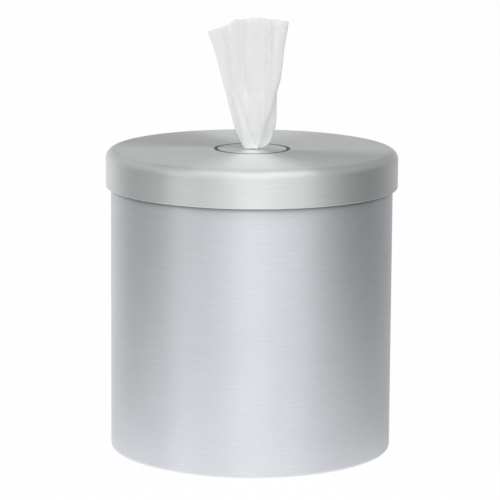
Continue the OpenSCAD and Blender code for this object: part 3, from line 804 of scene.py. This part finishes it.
# %% The standing wipe
LID_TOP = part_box("lid_shell")[1].z * 1000
TEAR_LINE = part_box("wipe_sheet")[0].z * 1000
NECK_LEVELS = (-36, -30, -24, -18, -12, -5.2, -3.8, -2.8, -2, -1.4, -1, -0.6, -0.3)
FOOT_LEVELS = (0, 0.3, 0.6, 0.9, 1.3, 1.7, 2.3, 3, 4.5, 6, 8, 10, 12.5, 15, 18)
FAN_LEVELS = [21 + 2.5 * i for i in range(35)]
WIPE_LEVELS = [TEAR_LINE - LID_TOP, *NECK_LEVELS, *FOOT_LEVELS, *FAN_LEVELS, WIPE_TOP]
# Reach and fall of the top edge, as a share of its height
TOP_FALL = (
    (-37, 0.110), (-26, 0.076), (-19, 0.047), (-15, 0.0175), (-10.5, 0.020), (-5, 0.012), (0, 0.0),
    (13, 0.011), (24.6, 0.020), (29.5, 0.034))
BACK_FALL = 0.022           # further fall of the hidden leaves
BACK_FROM = -0.7            # share of the depth where that fall starts
BACK_MOST = 1.4             # and over which it goes on
NICK = 0.22                 # millimetres, unevenness of the torn edge


def fan_row(height):
    """One row of the standing wipe, whose top edge falls away to both sides and to the back."""
    line = level(height)
    deep = at(DEPTH, height)
    behind = np.clip(line[:, 1] / deep - BACK_FROM, 0, BACK_MOST)
    drop = max(height, 0) * (at(TOP_FALL, line[:, 0]) + BACK_FALL * behind)
    return np.column_stack([line, LID_TOP + height - drop])


fan = soften(np.array([fan_row(h) for h in WIPE_LEVELS]))
nicks = np.random.default_rng(4).normal(0, NICK, COLUMNS)
fan[-1, :, 2] += np.convolve(nicks, (0.25, 0.5, 0.25), "same")
wipe = make_sheet("wipe_fan", fan, WIPE_LENGTH)
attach(wipe, "wipe")
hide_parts("wipe_sheet")
print("wipe:", len(wipe.data.polygons), "faces, area", area_share(wipe, WIPE_WIDTH, WIPE_LENGTH),
      "of its flat size")

# %% [markdown]
# Below the tear line the next wipe hangs in the roll's core. It starts as the same bundle,
# opens as it goes down, and twists round, because it peels off the innermost turn of the roll.
# Each of its rows is the shape of the fan at some height, turned and set at its own place.

# %% The next wipe
TAIL_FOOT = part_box("wipe_tail")[0].z * 1000
TAIL_LENGTH = (TEAR_LINE - TAIL_FOOT) / 1000
TAIL_TWIST = math.radians(150)
TAIL_ROWS = 46
TAIL_GATHERED = 0.1         # share of its length that stays a bundle
TAIL_OPENING = 36           # it opens as the fan does over this many millimetres
OPENING_POWER = 0.8         # under 1, so that it opens fast at first


def tail_row(t):
    """One row of the tail, from t = 0 at the tear line to t = 1 in the core."""
    opened = max(0.0, (t - TAIL_GATHERED) / (1 - TAIL_GATHERED)) ** OPENING_POWER
    x, y = level(NECK + TAIL_OPENING * opened).T
    turn = TAIL_TWIST * t * t
    return np.column_stack([
        x * math.cos(turn) - y * math.sin(turn), x * math.sin(turn) + y * math.cos(turn),
        np.full(len(x), TEAR_LINE - t * TAIL_LENGTH * 1000)])


drawn = soften(np.array([tail_row(t) for t in np.linspace(1, 0, TAIL_ROWS)]))
next_wipe = make_sheet("next_wipe", drawn, TAIL_LENGTH)
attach(next_wipe, "wipe")
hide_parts("wipe_tail")
print("next wipe: area", area_share(next_wipe, WIPE_WIDTH, TAIL_LENGTH), "of its flat size")

# %% [markdown]
# ## What is wound
#
# Three pieces repeat one simple thing round an axis: the roll is a strip wound outwards, the
# thread on the nozzle's barrel is a ridge wound upwards, and the rolled edge of the lid's hem
# is a single turn. One Geometry Nodes tree makes them all. It draws a spiral, sweeps a small
# rounded bar along it and lifts the result to its height. On the roll it also presses both
# ends in towards the rim, by the square of the way into a band called the edge.

# %% A tree that winds a strip
WINDER_SIZES = (            # the tree's inputs and what they are where nothing is given, in metres
    ("Start radius", 0.03), ("End radius", 0.1), ("Turns", 10.0), ("Rise", 0.0),
    ("Bar thickness", 0.001), ("Bar height", 0.2), ("Corner", 0.0003), ("Middle height", 0.1),
    ("Edge width", 0.01), ("Edge press", 0.0))


def make_winder():
    tree = bpy.data.node_groups.new("wound_strip", "GeometryNodeTree")
    new_socket = tree.interface.new_socket
    for label, default in WINDER_SIZES:
        new_socket(label, in_out="INPUT", socket_type="NodeSocketFloat").default_value = default
    new_socket("Steps per turn", in_out="INPUT", socket_type="NodeSocketInt").default_value = 72
    new_socket("Finish", in_out="INPUT", socket_type="NodeSocketMaterial")
    new_socket("Geometry", in_out="OUTPUT", socket_type="NodeSocketGeometry")
    given = add(tree, "NodeGroupInput").outputs

    path = add(tree, "GeometryNodeCurveSpiral", {
        "Resolution": given["Steps per turn"], "Rotations": given["Turns"],
        "Start Radius": given["Start radius"], "End Radius": given["End radius"],
        "Height": given["Rise"]})
    upright = add(tree, "GeometryNodeSetCurveNormal", {"Curve": path.outputs[0]}, mode="Z_UP")
    bar = add(tree, "GeometryNodeCurvePrimitiveQuadrilateral", {
        "Width": given["Bar thickness"], "Height": given["Bar height"]})
    rounded = add(tree, "GeometryNodeFilletCurve", {
        "Curve": bar.outputs[0], "Radius": given["Corner"], "Count": 2}, mode="POLY")
    swept = add(tree, "GeometryNodeCurveToMesh", {
        "Curve": upright.outputs[0], "Profile Curve": rounded.outputs[0], "Fill Caps": True})

    x, y, z = split(tree, add(tree, "GeometryNodeInputPosition").outputs[0])
    edge = calc(tree, "SUBTRACT", given["End radius"], given["Edge width"])
    way_in = calc(tree, "SUBTRACT", radius_of(tree, x, y), edge)
    share = calc(tree, "DIVIDE", way_in, given["Edge width"])
    share = calc(tree, "MULTIPLY", calc(tree, "MAXIMUM", share, 0.0), share)
    press = calc(tree, "MULTIPLY", calc(tree, "MULTIPLY", share, given["Edge press"]),
                 calc(tree, "SIGN", z))
    lift = calc(tree, "SUBTRACT", given["Middle height"], press)
    placed = add(tree, "GeometryNodeSetPosition", {
        "Geometry": swept.outputs[0],
        "Offset": add(tree, "ShaderNodeCombineXYZ", {2: lift}).outputs[0]})
    real = add(tree, "GeometryNodeRealizeInstances", {0: placed.outputs[0]})
    dressed = add(tree, "GeometryNodeSetMaterial", {
        "Geometry": real.outputs[0], "Material": given["Finish"]})
    add(tree, "NodeGroupOutput", {"Geometry": dressed.outputs[0]})
    return tree


winder = make_winder()


def wind(name, **values):
    """An object made by the winding tree with these inputs."""
    thing = bpy.data.objects.new(name, bpy.data.meshes.new(name))
    bpy.context.scene.collection.objects.link(thing)
    modifier = thing.modifiers.new("winding", "NODES")
    modifier.node_group = winder
    for item in winder.interface.items_tree:
        key = item.name.replace(" ", "_").lower()
        if key in values:
            modifier[item.identifier] = values.pop(key)
    assert not values, values
    return bake(thing)


def describe(piece):
    """Prints a piece's number of faces and its box, in millimetres."""
    low = [min(c[k] for c in piece.bound_box) * 1000 for k in range(3)]
    high = [max(c[k] for c in piece.bound_box) * 1000 for k in range(3)]
    print(piece.name, len(piece.data.polygons), "faces, box", [round(v, 1) for v in low + high])


print("winder:", len(winder.nodes), "nodes")

# %% [markdown]
# The roll fills the room of its solid. Drawing every turn of so thin a sheet would take too
# many faces, so one turn of the drawing stands for about three turns of the sheet. The fine
# dark lines between the turns still tell the eye that the roll is wound.

# %% The roll
ROLL_PITCH = 0.0012         # metres from one turn to the next
CORE_RADIUS = 0.030
ROLL_EDGE = 0.012           # width of the rim that is pressed in
ROLL_PRESS = 0.004          # how far its outermost turn is pressed in
roll_low, roll_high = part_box("wipes_roll")
roll_radius = roll_high.x
roll = wind(
    "wound_roll", start_radius=CORE_RADIUS + ROLL_PITCH / 2,
    end_radius=roll_radius - ROLL_PITCH / 2, turns=(roll_radius - CORE_RADIUS) / ROLL_PITCH - 1,
    bar_thickness=ROLL_PITCH * 0.97, bar_height=roll_high.z - roll_low.z,
    corner=ROLL_PITCH * 0.4, middle_height=(roll_low.z + roll_high.z) / 2,
    edge_width=ROLL_EDGE, edge_press=ROLL_PRESS, steps_per_turn=72, finish=wound_wipes)
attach(roll, "pail")
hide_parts("wipes_roll")
describe(roll)

# %% [markdown]
# The thread is drawn on the barrel below the ring nut, where it can be seen from underneath.
# The bar's inner half lies in the barrel's wall, so only a low rounded ridge stands out.

# %% The barrel's thread
THREAD_PITCH = 0.0024
THREAD_PROUD = 0.0007       # metres that the ridge stands out
THREAD_CORNER = 0.0003
THREAD_MARGIN = 0.0008      # metres left bare at each end
BARREL_RADIUS = 0.026
EVEN = {"edge_width": 1.0, "edge_press": 0.0}    # nothing is pressed in
barrel_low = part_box("nozzle_body")[0].z
nut_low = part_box("clamp_nut")[0].z
thread_rise = nut_low - barrel_low - 2 * THREAD_MARGIN
thread = wind(
    "barrel_thread", start_radius=BARREL_RADIUS, end_radius=BARREL_RADIUS,
    turns=thread_rise / THREAD_PITCH, rise=thread_rise, bar_thickness=2 * THREAD_PROUD,
    bar_height=THREAD_PITCH * 0.45, corner=THREAD_CORNER,
    middle_height=barrel_low + THREAD_MARGIN, steps_per_turn=96, finish=black_moulding, **EVEN)
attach(thread, "lid")
describe(thread)

# %% [markdown]
# The lower edge of the lid's hem is a small round. The solid's own mesh draws it with long
# thin triangles, which look ragged on one half, so one wound turn of the same round lies over
# it as a thin skin.

# %% The hem's edge
HEM_ROUND = 0.0008          # radius of the hem's lower edge, in metres
SKIN = 0.00003              # how far the wound edge stands out from the solid's
HEM_STEPS = 260
hem_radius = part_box("lid_shell")[1].x - HEM_ROUND
hem_edge = wind(
    "hem_edge", start_radius=hem_radius, end_radius=hem_radius, turns=1.0,
    bar_thickness=2 * (HEM_ROUND + SKIN), bar_height=2 * (HEM_ROUND + SKIN), corner=HEM_ROUND,
    middle_height=HEM + HEM_ROUND, steps_per_turn=HEM_STEPS, finish=lid_steel, **EVEN)
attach(hem_edge, "lid")
describe(hem_edge)
